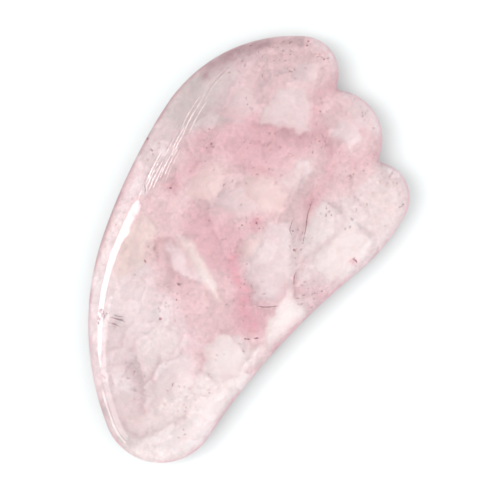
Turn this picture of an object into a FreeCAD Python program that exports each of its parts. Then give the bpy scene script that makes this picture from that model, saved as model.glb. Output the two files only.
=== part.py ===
import FreeCAD, Part
import math
import os

import Sketcher

# Gua sha scraper: one board of polished rose quartz, in millimetres.
#
# The board lies flat on z = 0. +X runs along the working edge towards the three teeth,
# +Y points to the big convex back and -Y to the slightly hollow working edge.
# Its outline is a closed chain of tangent arcs. Its wall is ground to a round nose, which
# is wider along the back.

Vector = FreeCAD.Vector

NODE = "stone_board"

# The driving dimensions, in mm. "_x" and "_y" are centres of arcs in the board's own frame.
SIZES = {
    "overall_length": 85.0,
    "overall_width": 50.5,
    "board_thickness": 6.4,
    # The wall's nose: how far in from the outline it starts, and its small radius.
    "nose_width": 3.3,
    "nose_radius": 2.3,
    # The back is ground wider. The grinding follows a circle that leaves the outline at both ends.
    "bevel_width": 6.3,
    "bevel_nose_radius": 2.0,
    "bevel_radius": 112.0,
    "bevel_x": 31.0,
    "bevel_y": -85.5,
    # How far a cutter stands out past the wall and the faces.
    "cutter_reach": 0.5,
    # The round tip at the -X end.
    "tip_radius": 11.2,
    # The three teeth at the +X end, counted from the back to the working edge.
    "tooth_one_radius": 7.2,
    "tooth_one_y": 9.5,
    "tooth_two_radius": 9.7,
    "tooth_two_x": 29.8,
    "tooth_two_y": -3.7,
    "tooth_three_radius": 7.0,
    "tooth_three_x": 26.8,
    "tooth_three_y": -17.3,
    "notch_radius": 0.9,
    # The long sides: shoulder and back on +Y, heel and hollow working edge on -Y.
    "shoulder_radius": 29.6,
    "upper_back_radius": 112.0,
    "lower_back_radius": 54.0,
    "lower_back_x": 7.2,
    "heel_radius": 38.6,
    "hollow_radius": 144.0,
}


class Arc:
    """One arc of the outline. A hollow arc has its centre outside the board."""

    def __init__(self, name, centre, radius, hollow=False):
        self.name = name
        self.centre = centre
        self.radius = radius
        self.hollow = hollow


def circle_meeting(first, first_distance, second, second_distance, side):
    """The point at the two given distances from two points; side is +1 on the left of
    the line from the first to the second, and -1 on its right."""
    line = second - first
    along = (first_distance**2 - second_distance**2 + line.Length**2) / (2 * line.Length)
    across = math.sqrt(first_distance**2 - along**2)
    direction = Vector(line).normalize()
    left = Vector(-direction.y, direction.x, 0)
    return first + direction * along + left * (side * across)


def outline_arcs():
    """The outline's arcs, anticlockwise, from the tip's leftmost point back to it."""
    half_length = SIZES["overall_length"] / 2
    half_width = SIZES["overall_width"] / 2

    tip_radius = SIZES["tip_radius"]
    tip = Vector(tip_radius - half_length, tip_radius - half_width, 0)

    first_radius = SIZES["tooth_one_radius"]
    second_radius = SIZES["tooth_two_radius"]
    third_radius = SIZES["tooth_three_radius"]
    tooth_one = Vector(half_length - first_radius, SIZES["tooth_one_y"], 0)
    tooth_two = Vector(SIZES["tooth_two_x"], SIZES["tooth_two_y"], 0)
    tooth_three = Vector(SIZES["tooth_three_x"], SIZES["tooth_three_y"], 0)

    notch = SIZES["notch_radius"]
    upper_notch = circle_meeting(tooth_one, first_radius + notch, tooth_two, second_radius + notch, 1)
    lower_notch = circle_meeting(tooth_two, second_radius + notch, tooth_three, third_radius + notch, 1)

    # The heel touches the bounding line of the working side and is tangent to tooth three.
    heel_radius = SIZES["heel_radius"]
    heel_y = heel_radius - half_width
    heel_offset = math.sqrt((heel_radius - third_radius) ** 2 - (heel_y - tooth_three.y) ** 2)
    heel = Vector(tooth_three.x - heel_offset, heel_y, 0)

    # The shoulder touches the bounding line of the back and is tangent to tooth one.
    shoulder_radius = SIZES["shoulder_radius"]
    shoulder_y = half_width - shoulder_radius
    shoulder_offset = math.sqrt((shoulder_radius - first_radius) ** 2 - (shoulder_y - tooth_one.y) ** 2)
    shoulder = Vector(tooth_one.x - shoulder_offset, shoulder_y, 0)

    hollow_radius = SIZES["hollow_radius"]
    hollow = circle_meeting(tip, hollow_radius + tip_radius, heel, hollow_radius + heel_radius, -1)

    lower_radius = SIZES["lower_back_radius"]
    lower_x = SIZES["lower_back_x"]
    lower_drop = math.sqrt((lower_radius - tip_radius) ** 2 - (lower_x - tip.x) ** 2)
    lower_back = Vector(lower_x, tip.y - lower_drop, 0)

    upper_radius = SIZES["upper_back_radius"]
    upper_back = circle_meeting(
        lower_back, upper_radius - lower_radius, shoulder, upper_radius - shoulder_radius, -1
    )

    return [
        Arc("tip_low", tip, tip_radius),
        Arc("hollow", hollow, hollow_radius, hollow=True),
        Arc("heel", heel, heel_radius),
        Arc("tooth_three", tooth_three, third_radius),
        Arc("lower_notch", lower_notch, notch, hollow=True),
        Arc("tooth_two", tooth_two, second_radius),
        Arc("upper_notch", upper_notch, notch, hollow=True),
        Arc("tooth_one", tooth_one, first_radius),
        Arc("shoulder", shoulder, shoulder_radius),
        Arc("upper_back", upper_back, upper_radius),
        Arc("lower_back", lower_back, lower_radius),
        Arc("tip_high", tip, tip_radius),
    ]


def touching_point(one, other):
    """Where two neighbouring arcs meet: on the line through their centres."""
    if one.hollow or other.hollow:
        return one.centre + (other.centre - one.centre).normalize() * one.radius
    large, small = (one, other) if one.radius > other.radius else (other, one)
    return large.centre + (small.centre - large.centre).normalize() * large.radius


def angle_of(point, centre):
    return math.atan2(point.y - centre.y, point.x - centre.x)


def join_points(arcs):
    """The point at the start of each arc; the tip is split at its leftmost point."""
    split = arcs[0].centre - Vector(arcs[0].radius, 0, 0)
    return [split] + [touching_point(arcs[i], arcs[i + 1]) for i in range(len(arcs) - 1)]


def constrain(sketch, *arguments):
    return sketch.addConstraint(Sketcher.Constraint(*arguments))


def bind(sketch, name, expression, *arguments):
    """Adds a constraint with a name, whose value follows an expression of the sheet."""
    number = constrain(sketch, *arguments)
    sketch.renameConstraint(number, name)
    sketch.setExpression("Constraints." + name, expression)


def add_outline(sketch):
    """Draws the outline in a sketch and constrains it to the sheet."""
    arcs = outline_arcs()
    joins = join_points(arcs)
    for index, arc in enumerate(arcs):
        begin = angle_of(joins[index], arc.centre)
        finish = angle_of(joins[(index + 1) % len(joins)], arc.centre)
        if arc.hollow:
            begin, finish = finish, begin
        if finish < begin:
            finish += 2 * math.pi
        circle = Part.Circle(arc.centre, Vector(0, 0, 1), arc.radius)
        sketch.addGeometry(Part.ArcOfCircle(circle, begin, finish), False)

    # A sketch arc runs anticlockwise, so a hollow one is entered at its end (2).
    for index, arc in enumerate(arcs):
        following = (index + 1) % len(arcs)
        leaving = 1 if arc.hollow else 2
        entering = 2 if arcs[following].hollow else 1
        constrain(sketch, "Tangent", index, leaving, following, entering)

    place = {arc.name: index for index, arc in enumerate(arcs)}
    centre = 3

    def bind_radius(name, alias):
        index = place[name]
        bind(sketch, name + "_radius", "sizes." + alias, "Radius", index, arcs[index].radius)

    def bind_centre(kind, name, expression):
        index = place[name]
        position = arcs[index].centre.x if kind == "DistanceX" else arcs[index].centre.y
        suffix = "_x" if kind == "DistanceX" else "_y"
        bind(sketch, name + suffix, expression, kind, -1, 1, index, centre, position)

    bind_radius("tip_low", "tip_radius")
    bind_radius("hollow", "hollow_radius")
    bind_radius("heel", "heel_radius")
    bind_radius("tooth_three", "tooth_three_radius")
    bind_radius("lower_notch", "notch_radius")
    bind_radius("tooth_two", "tooth_two_radius")
    bind_radius("upper_notch", "notch_radius")
    bind_radius("tooth_one", "tooth_one_radius")
    bind_radius("shoulder", "shoulder_radius")
    bind_radius("upper_back", "upper_back_radius")
    bind_radius("lower_back", "lower_back_radius")
    constrain(sketch, "Equal", place["tip_low"], place["tip_high"])

    bind_centre("DistanceX", "tip_low", "sizes.tip_radius - sizes.overall_length / 2")
    bind_centre("DistanceY", "tip_low", "sizes.tip_radius - sizes.overall_width / 2")
    bind_centre("DistanceX", "tooth_one", "sizes.overall_length / 2 - sizes.tooth_one_radius")
    bind_centre("DistanceY", "tooth_one", "sizes.tooth_one_y")
    bind_centre("DistanceX", "tooth_two", "sizes.tooth_two_x")
    bind_centre("DistanceY", "tooth_two", "sizes.tooth_two_y")
    bind_centre("DistanceX", "tooth_three", "sizes.tooth_three_x")
    bind_centre("DistanceY", "tooth_three", "sizes.tooth_three_y")
    bind_centre("DistanceY", "heel", "sizes.heel_radius - sizes.overall_width / 2")
    bind_centre("DistanceY", "shoulder", "sizes.overall_width / 2 - sizes.shoulder_radius")
    bind_centre("DistanceX", "lower_back", "sizes.lower_back_x")

    # The split of the tip lies level with the tip's centre.
    constrain(sketch, "Horizontal", place["tip_low"], 1, place["tip_low"], centre)


def origin_plane(body, role):
    for feature in body.Origin.OriginFeatures:
        if feature.Role == role:
            return feature
    raise RuntimeError("no origin plane " + role)


def add_sketch(body, name, role):
    sketch = body.newObject("Sketcher::SketchObject", name)
    sketch.AttachmentSupport = [(origin_plane(body, role), "")]
    sketch.MapMode = "FlatFace"
    return sketch


def add_wall_cutter(sketch, outer, outer_name, width_name, nose_name):
    """Draws, in section, what grinding takes off a wall whose outside is at x = outer.

    The nose that is left is three tangent arcs: a small one round the outside and a larger
    one above and below it, each tangent to the flat face. Sketch y is height. The names are
    the expression for outer and the sheet's names for the nose's width and small radius.
    """
    thickness = SIZES["board_thickness"]
    width = SIZES[width_name]
    nose_radius = SIZES[nose_name]
    reach = SIZES["cutter_reach"]
    middle = thickness / 2
    inner = outer + width

    across = width - nose_radius
    blend_radius = (across**2 + middle**2 - nose_radius**2) / (thickness - 2 * nose_radius)
    nose = Vector(outer + nose_radius, middle, 0)
    upper = Vector(inner, thickness - blend_radius, 0)
    lower = Vector(inner, blend_radius, 0)
    upper_join = upper + (nose - upper).normalize() * blend_radius
    lower_join = lower + (nose - lower).normalize() * blend_radius

    def add_arc(middle_point, radius, begin, finish):
        circle = Part.Circle(middle_point, Vector(0, 0, 1), radius)
        return sketch.addGeometry(Part.ArcOfCircle(circle, begin, finish), False)

    upper_angle = angle_of(upper_join, upper)
    lower_angle = angle_of(lower_join, lower) + 2 * math.pi
    upper_blend = add_arc(upper, blend_radius, math.pi / 2, upper_angle)
    nose_arc = add_arc(nose, nose_radius, upper_angle, lower_angle)
    lower_blend = add_arc(lower, blend_radius, lower_angle, 3 * math.pi / 2)

    corners = [
        Vector(inner, thickness, 0),
        Vector(inner, thickness + reach, 0),
        Vector(outer - reach, thickness + reach, 0),
        Vector(outer - reach, -reach, 0),
        Vector(inner, -reach, 0),
        Vector(inner, 0, 0),
    ]
    lines = [
        sketch.addGeometry(Part.LineSegment(one, other), False)
        for one, other in zip(corners, corners[1:])
    ]
    upper_side, top, outside, bottom, lower_side = lines

    start, end, centre = 1, 2, 3
    constrain(sketch, "Tangent", upper_blend, end, nose_arc, start)
    constrain(sketch, "Tangent", nose_arc, end, lower_blend, start)
    constrain(sketch, "Perpendicular", upper_blend, start, upper_side, start)
    constrain(sketch, "Perpendicular", lower_blend, end, lower_side, end)
    for line, following in zip(lines, lines[1:]):
        constrain(sketch, "Coincident", line, end, following, start)
    for line in (upper_side, outside, lower_side):
        constrain(sketch, "Vertical", line)
    for line in (top, bottom):
        constrain(sketch, "Horizontal", line)
    constrain(sketch, "PointOnObject", lower_side, end, -1)

    nose_centre = (-1, 1, nose_arc, centre)
    upper_edge = (-1, 1, upper_side, start)
    lower_edge = (-1, 1, lower_side, end)
    inner_name = "%s + sizes.%s" % (outer_name, width_name)
    bind(sketch, "nose_radius", "sizes." + nose_name, "Radius", nose_arc, nose_radius)
    bind(sketch, "nose_x", "%s + sizes.%s" % (outer_name, nose_name), "DistanceX", *nose_centre, nose.x)
    bind(sketch, "nose_height", "sizes.board_thickness / 2", "DistanceY", *nose_centre, middle)
    bind(sketch, "face_height", "sizes.board_thickness", "DistanceY", *upper_edge, thickness)
    bind(sketch, "upper_edge_x", inner_name, "DistanceX", *upper_edge, inner)
    bind(sketch, "lower_edge_x", inner_name, "DistanceX", *lower_edge, inner)
    rise = (upper_side, start, upper_side, end)
    drop = (lower_side, start, lower_side, end)
    span = (top, end, top, start)
    bind(sketch, "above", "sizes.cutter_reach", "DistanceY", *rise, reach)
    bind(sketch, "below", "sizes.cutter_reach", "DistanceY", *drop, reach)
    bind(sketch, "beside", "sizes.%s + sizes.cutter_reach" % width_name, "DistanceX", *span, width + reach)


def make_sheet(document):
    """Puts the driving dimensions in the sheet, each with its name as an alias."""
    sheet = document.addObject("Spreadsheet::Sheet", "sizes")
    for row, (name, value) in enumerate(SIZES.items(), start=1):
        sheet.set("A%d" % row, name)
        sheet.set("B%d" % row, str(value))
        sheet.setAlias("B%d" % row, name)
    document.recompute()
    return sheet


def bevel_section(body):
    """The back bevel's cutter, in section level with the centre of its circle."""
    sketch = add_sketch(body, "bevel_section", "XZ_Plane")
    sketch.setExpression("AttachmentOffset.Base.z", "-sizes.bevel_y")
    centre_x = SIZES["bevel_x"]
    outer = centre_x - SIZES["bevel_radius"]
    add_wall_cutter(sketch, outer, "sizes.bevel_x - sizes.bevel_radius", "bevel_width", "bevel_nose_radius")

    foot = Vector(centre_x, 0, 0)
    head = Vector(centre_x, SIZES["board_thickness"], 0)
    axis = sketch.addGeometry(Part.LineSegment(foot, head), True)
    constrain(sketch, "Vertical", axis)
    constrain(sketch, "PointOnObject", axis, 1, -1)
    bind(sketch, "axis_x", "sizes.bevel_x", "DistanceX", -1, 1, axis, 1, centre_x)
    bind(sketch, "axis_height", "sizes.board_thickness", "DistanceY", axis, 1, axis, 2, head.y)
    return sketch


def wall_section(body):
    """The wall's cutter, in section at the tip's leftmost point."""
    sketch = add_sketch(body, "wall_section", "XZ_Plane")
    sketch.setExpression("AttachmentOffset.Base.z", "sizes.overall_width / 2 - sizes.tip_radius")
    outer = -SIZES["overall_length"] / 2
    add_wall_cutter(sketch, outer, "-sizes.overall_length / 2", "nose_width", "nose_radius")
    return sketch


def make_board(document):
    """The whole board: a padded outline, its wall ground round, and its back bevelled."""
    body = document.addObject("PartDesign::Body", NODE)
    body.Label = NODE

    outline = add_sketch(body, "outline", "XY_Plane")
    add_outline(outline)
    slab = body.newObject("PartDesign::Pad", "slab")
    slab.Profile = outline
    slab.setExpression("Length", "sizes.board_thickness")
    document.recompute()

    wall = body.newObject("PartDesign::SubtractivePipe", "round_wall")
    wall.Profile = wall_section(body)
    wall.Spine = (outline, [])
    wall.Mode = "Binormal"
    wall.Binormal = Vector(0, 0, 1)
    document.recompute()

    section = bevel_section(body)
    bevel = body.newObject("PartDesign::Groove", "back_bevel")
    bevel.Profile = section
    bevel.ReferenceAxis = (section, ["Axis0"])
    bevel.Angle = 360
    document.recompute()
    return body


def check(document, bodies):
    """Stops if anything in the document failed, or a sub-part's shape isn't sound."""
    for thing in document.Objects:
        if "Invalid" in thing.State or "Error" in thing.State:
            raise RuntimeError("%s failed: %s" % (thing.Name, thing.State))
    for body in bodies:
        shape = body.Shape
        if shape.isNull() or not shape.isValid():
            raise RuntimeError("%s has no sound shape" % body.Label)
        if len(shape.Solids) != 1:
            raise RuntimeError("%s has %d solids" % (body.Label, len(shape.Solids)))


def main():
    document = FreeCAD.newDocument("gua_sha_scraper")
    make_sheet(document)
    board = make_board(document)
    document.recompute()
    check(document, [board])

    slab, rounded, bevelled = [
        document.getObject(name).Shape.Volume for name in ("slab", "round_wall", "back_bevel")
    ]
    if not slab > rounded > bevelled:
        raise RuntimeError("the wall or the back was not ground")
    print("slab %.0f mm3, rounded %.0f mm3, bevelled %.0f mm3" % (slab, rounded, bevelled))

    os.makedirs("parts", exist_ok=True)
    board.Shape.exportStep(os.path.join("parts", board.Label + ".step"))


main()
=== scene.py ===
import math
import random

import bmesh
import bpy
import numpy as np
from mathutils import Matrix, Vector, noise
from mathutils.geometry import delaunay_2d_cdt


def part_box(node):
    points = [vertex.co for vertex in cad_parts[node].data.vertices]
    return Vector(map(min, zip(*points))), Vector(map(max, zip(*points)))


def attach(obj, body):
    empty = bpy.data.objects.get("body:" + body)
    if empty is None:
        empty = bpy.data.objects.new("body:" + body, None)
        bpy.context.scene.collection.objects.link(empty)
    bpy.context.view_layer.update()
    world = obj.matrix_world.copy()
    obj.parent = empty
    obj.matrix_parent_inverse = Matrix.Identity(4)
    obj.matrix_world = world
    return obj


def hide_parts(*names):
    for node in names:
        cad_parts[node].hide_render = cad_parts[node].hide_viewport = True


# Gua sha scraper: one board of polished rose quartz, seen from straight above on white.
#
# Sizes below are in millimetres in the board's own frame: +X runs along the working edge
# towards the three teeth, +Y points to the convex back, and z = 0 is the face it lies on.
# MM turns them into the scene's metres.

MM = 0.001
SEED = 7

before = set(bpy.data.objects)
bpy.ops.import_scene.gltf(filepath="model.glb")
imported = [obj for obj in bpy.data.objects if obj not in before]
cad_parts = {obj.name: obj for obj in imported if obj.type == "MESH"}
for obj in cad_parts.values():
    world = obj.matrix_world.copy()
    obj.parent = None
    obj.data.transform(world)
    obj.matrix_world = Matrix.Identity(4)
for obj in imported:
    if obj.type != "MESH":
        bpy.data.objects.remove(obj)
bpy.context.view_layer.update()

BOARD_LOW, BOARD_HIGH = [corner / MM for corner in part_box("stone_board")]
HALF_LENGTH = (BOARD_HIGH.x - BOARD_LOW.x) / 2
HALF_WIDTH = (BOARD_HIGH.y - BOARD_LOW.y) / 2
THICKNESS = BOARD_HIGH.z - BOARD_LOW.z
MIDDLE = THICKNESS / 2

# The outline's arcs, as in the board's own design.
TIP_RADIUS = 11.2
TOOTH_RADII = (7.2, 9.7, 7.0)
TOOTH_ONE_Y = 9.5
TOOTH_TWO = (29.8, -3.7)
TOOTH_THREE = (26.8, -17.3)
NOTCH_RADIUS = 0.9
SHOULDER_RADIUS = 29.6
UPPER_BACK_RADIUS = 112.0
LOWER_BACK_RADIUS = 54.0
LOWER_BACK_X = 7.2
HEEL_RADIUS = 38.6
HOLLOW_RADIUS = 144.0

# The wall's round nose, and the wider one along the back, ground along a circle.
NOSE_WIDTH = 3.3
NOSE_RADIUS = 2.3
BEVEL_WIDTH = 6.3
BEVEL_NOSE_RADIUS = 2.0
BEVEL_RADIUS = 112.0
BEVEL_CENTRE = (31.0, -85.5)
BEVEL_BLEND = 0.5


# ---------------------------------------------------------------- outline


def meeting(first, first_distance, second, second_distance, side):
    """The point at two distances from two points, left (+1) or right (-1) of their line."""
    line = second - first
    length = np.hypot(*line)
    along = (first_distance**2 - second_distance**2 + length**2) / (2 * length)
    across = math.sqrt(first_distance**2 - along**2)
    direction = line / length
    left = np.array((-direction[1], direction[0]))
    return first + direction * along + left * (side * across)


def outline_arcs():
    """(centre, radius, hollow) of each arc, anticlockwise from the tip's leftmost point."""
    tip = np.array((TIP_RADIUS - HALF_LENGTH, TIP_RADIUS - HALF_WIDTH))
    first, second, third = TOOTH_RADII
    tooth_one = np.array((HALF_LENGTH - first, TOOTH_ONE_Y))
    tooth_two = np.array(TOOTH_TWO)
    tooth_three = np.array(TOOTH_THREE)
    upper_notch = meeting(tooth_one, first + NOTCH_RADIUS, tooth_two, second + NOTCH_RADIUS, 1)
    lower_notch = meeting(tooth_two, second + NOTCH_RADIUS, tooth_three, third + NOTCH_RADIUS, 1)

    heel_y = HEEL_RADIUS - HALF_WIDTH
    heel_offset = math.sqrt((HEEL_RADIUS - third) ** 2 - (heel_y - tooth_three[1]) ** 2)
    heel = np.array((tooth_three[0] - heel_offset, heel_y))
    shoulder_y = HALF_WIDTH - SHOULDER_RADIUS
    shoulder_offset = math.sqrt((SHOULDER_RADIUS - first) ** 2 - (shoulder_y - tooth_one[1]) ** 2)
    shoulder = np.array((tooth_one[0] - shoulder_offset, shoulder_y))
    hollow = meeting(tip, HOLLOW_RADIUS + TIP_RADIUS, heel, HOLLOW_RADIUS + HEEL_RADIUS, -1)

    lower_drop = math.sqrt((LOWER_BACK_RADIUS - TIP_RADIUS) ** 2 - (LOWER_BACK_X - tip[0]) ** 2)
    lower_back = np.array((LOWER_BACK_X, tip[1] - lower_drop))
    upper_back = meeting(
        lower_back,
        UPPER_BACK_RADIUS - LOWER_BACK_RADIUS,
        shoulder,
        UPPER_BACK_RADIUS - SHOULDER_RADIUS,
        -1,
    )
    return [
        (tip, TIP_RADIUS, False),
        (hollow, HOLLOW_RADIUS, True),
        (heel, HEEL_RADIUS, False),
        (tooth_three, third, False),
        (lower_notch, NOTCH_RADIUS, True),
        (tooth_two, second, False),
        (upper_notch, NOTCH_RADIUS, True),
        (tooth_one, first, False),
        (shoulder, SHOULDER_RADIUS, False),
        (upper_back, UPPER_BACK_RADIUS, False),
        (lower_back, LOWER_BACK_RADIUS, False),
        (tip, TIP_RADIUS, False),
    ]


def touching_point(one, other):
    """Where two neighbouring arcs meet: on the line through their centres."""
    centre, radius, hollow = one
    other_centre, other_radius, other_hollow = other
    towards = (other_centre - centre) / np.hypot(*(other_centre - centre))
    if hollow or other_hollow or radius > other_radius:
        return centre + towards * radius
    return other_centre - towards * other_radius


def outline_samples(step, turn_step):
    """Points of the outline and their outward normals, anticlockwise, as two arrays."""
    arcs = outline_arcs()
    split = arcs[0][0] - np.array((arcs[0][1], 0))
    joins = [split] + [touching_point(a, b) for a, b in zip(arcs, arcs[1:])] + [split]
    points, normals = [], []
    for (centre, radius, hollow), start, end in zip(arcs, joins, joins[1:]):
        begin = math.atan2(*(start - centre)[::-1])
        finish = math.atan2(*(end - centre)[::-1])
        turn = (begin - finish if hollow else finish - begin) % (2 * math.pi)
        count = max(math.ceil(turn * radius / step), math.ceil(turn / turn_step))
        sense = -1 if hollow else 1
        for k in range(count):
            angle = begin + sense * turn * k / count
            ray = np.array((math.cos(angle), math.sin(angle)))
            points.append(centre + ray * radius)
            normals.append(ray * sense)
    return np.array(points), np.array(normals)


# ---------------------------------------------------------------- shapes


def nose_widths(points):
    """How far in from the outline the nose starts at each point: widest along the back."""
    outside = BEVEL_RADIUS - np.hypot(*(points - np.array(BEVEL_CENTRE)).T)
    bevel = BEVEL_WIDTH - outside
    lift = (bevel - NOSE_WIDTH) / BEVEL_BLEND
    return NOSE_WIDTH + BEVEL_BLEND * np.log1p(np.exp(np.clip(lift, -40, 40)))


def nose_radii(widths):
    """The nose's two radii: a small arc round the outline, then a larger one up to the flat
    face."""
    share = (widths - NOSE_WIDTH) / (BEVEL_WIDTH - NOSE_WIDTH)
    small = NOSE_RADIUS + (BEVEL_NOSE_RADIUS - NOSE_RADIUS) * share
    large = ((widths - small) ** 2 + MIDDLE**2 - small**2) / (THICKNESS - 2 * small)
    return small, large


def nose_profile(widths, lean):
    """How far in and how high over the middle the nose is where its normal leans by lean
    from level."""
    small, large = nose_radii(widths)
    join = np.arctan2(large - MIDDLE, widths - small)
    inset = np.where(lean < join, small * (1 - math.cos(lean)), widths - large * math.cos(lean))
    height = np.where(lean < join, small * math.sin(lean), MIDDLE - large * (1 - math.sin(lean)))
    return inset, height


def nose_rings(outline, leans, depth):
    """(inset, height, lean) of each ring of the wall, from the bottom edge to the top one, at
    a depth under the surface."""
    widths = nose_widths(outline)
    rings = []
    for k in range(-leans, leans + 1):
        side = -1 if k < 0 else 1
        lean = abs(k) / leans * math.pi / 2
        inset, height = nose_profile(widths, lean)
        lowered = height - depth * math.sin(lean)
        rings.append((inset + depth * math.cos(lean), MIDDLE + side * lowered, side * lean))
    return rings


def inside(loop, points):
    """Which points lie inside a closed loop."""
    x, y = points[:, 0][:, None], points[:, 1][:, None]
    x0, y0 = loop.T
    x1, y1 = np.roll(loop, -1, axis=0).T
    spans = (y0 > y) != (y1 > y)
    rise = np.where(y1 == y0, 1e-12, y1 - y0)
    crossings = spans & (x < (x1 - x0) * (y - y0) / rise + x0)
    return crossings.sum(axis=1) % 2 == 1


def fill_face(loop, step, margin):
    """Fills a loop with even triangles. Returns the inner points and the triangles, whose
    indices count the loop's points first."""
    low, high = loop.min(axis=0), loop.max(axis=0)
    row_step = step * math.sqrt(3) / 2
    grid = [
        (x + (step / 2 if row % 2 else 0), y)
        for row, y in enumerate(np.arange(low[1], high[1], row_step))
        for x in np.arange(low[0], high[0], step)
    ]
    grid = np.array(grid)
    grid = grid[inside(loop, grid)]
    clear = np.array([np.hypot(*(loop - point).T).min() > margin for point in grid])
    inner = grid[clear]
    corners = [Vector(point) for point in np.vstack((loop, inner))]
    count = len(loop)
    edges = [(k, (k + 1) % count) for k in range(count)]
    triangles_inside = 1
    made = delaunay_2d_cdt(corners, edges, [], triangles_inside, 1e-6)
    if len(made[0]) != len(corners):
        raise RuntimeError("the face's loop crosses itself")
    source = [origins[0] for origins in made[3]]
    triangles = [[source[v] for v in face] for face in made[2]]
    return inner, triangles


def ring_shape(outline, out, rings, face_step, face_margin):
    """A closed board: one ring for each (inset, height, lean) from the bottom edge to the top
    one, and evenly filled flat faces. Returns points, outward normals, insets and faces."""
    count = len(outline)
    points, normals, insets = [], [], []
    for inset, height, lean in rings:
        ring = outline - out * inset[:, None]
        points.append(np.column_stack((ring, height)))
        normals.append(np.column_stack((out * math.cos(lean), np.full(count, math.sin(lean)))))
        insets.append(inset)
    faces = []
    for k in range(len(rings) - 1):
        for i in range(count):
            j = (i + 1) % count
            low, high = k * count, (k + 1) * count
            faces.append((low + i, low + j, high + j, high + i))

    inner, triangles = fill_face(points[-1][:, :2], face_step, face_margin)
    first_inner = len(rings) * count
    for side, first_ring in ((1, first_inner - count), (-1, 0)):
        level = points[-1][0, 2] if side > 0 else points[0][0, 2]
        points.append(np.column_stack((inner, np.full(len(inner), level))))
        normals.append(np.tile((0.0, 0.0, side), (len(inner), 1)))
        insets.append(np.full(len(inner), BEVEL_WIDTH))
        for triangle in triangles:
            corners = [first_ring + v if v < count else first_inner + v - count for v in triangle]
            faces.append(corners[::side])
        first_inner += len(inner)
    return np.vstack(points), np.vstack(normals), np.concatenate(insets), faces


def waviness(points, scale, octaves, offset):
    """Smooth noise from about -1 to 1 at each point, for features of about scale mm. The
    offset picks the pattern."""
    shift = Vector((offset, 2 * offset, 3 * offset))
    return np.array([noise.fractal(Vector(p) / scale + shift, 1.0, 2.0, octaves) for p in points])


def make_mesh(name, points, faces, material):
    """A smooth mesh object from points in millimetres, riding on the board's body."""
    mesh = bpy.data.meshes.new(name)
    mesh.from_pydata((np.asarray(points) * MM).tolist(), [], faces)
    mesh.validate()
    mesh.shade_smooth()
    mesh.materials.append(material)
    piece = bpy.data.objects.new(name, mesh)
    bpy.context.scene.collection.objects.link(piece)
    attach(piece, "root")
    return piece


# ---------------------------------------------------------------- colours of the stone

PALETTE = {
    "snow": (255, 240, 243),
    "white": (255, 240, 238),
    "milk": (249, 232, 231),
    "lilac": (241, 220, 222),
    "pearl": (234, 211, 212),
    "smoke": (213, 197, 196),
    "beige": (240, 210, 208),
    "sand": (236, 214, 208),
    "cream": (255, 237, 231),
    "blush": (233, 198, 201),
    "rose": (227, 181, 188),
    "red": (232, 163, 177),
    "haze": (198, 174, 178),
    "dusk": (170, 134, 140),
    "pink": (250, 156, 180),
    "wine": (168, 104, 116),
    "ash": (150, 138, 140),
}

# The stone's broad tones: place, reach and tone.
CLOUDS = (
    ((36, 13), 6, "blush"),
    ((30, 21), 4, "haze"),
    ((17, 22), 6, "smoke"),
    ((6, 21), 4, "pearl"),
    ((28, 14), 6, "blush"),
    ((30, 3), 6, "blush"),
    ((36, -3), 5, "blush"),
    ((19, 6), 6, "rose"),
    ((8, 13), 5, "blush"),
    ((8, 4), 5, "blush"),
    ((16, -5), 6, "blush"),
    ((27, -9), 5, "blush"),
    ((15, -19), 7, "lilac"),
    ((28, -19), 5, "pearl"),
    ((4, -12), 5, "pearl"),
    ((-1, 1), 5, "rose"),
    ((-2, 12), 5, "blush"),
    ((-10, 4), 5, "blush"),
    ((-10, -8), 6, "blush"),
    ((-6.5, -15), 5, "rose"),
    ((0, -21), 5, "lilac"),
    ((-16, -19), 6, "milk"),
    ((-13, 11), 5, "beige"),
    ((-20, 4), 6, "lilac"),
    ((-19, -6), 6, "lilac"),
    ((-29, -3), 6, "lilac"),
    ((-36, -12), 5, "smoke"),
    ((-27, -17), 6, "milk"),
    ((-36, -21), 5, "milk"),
)

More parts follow.
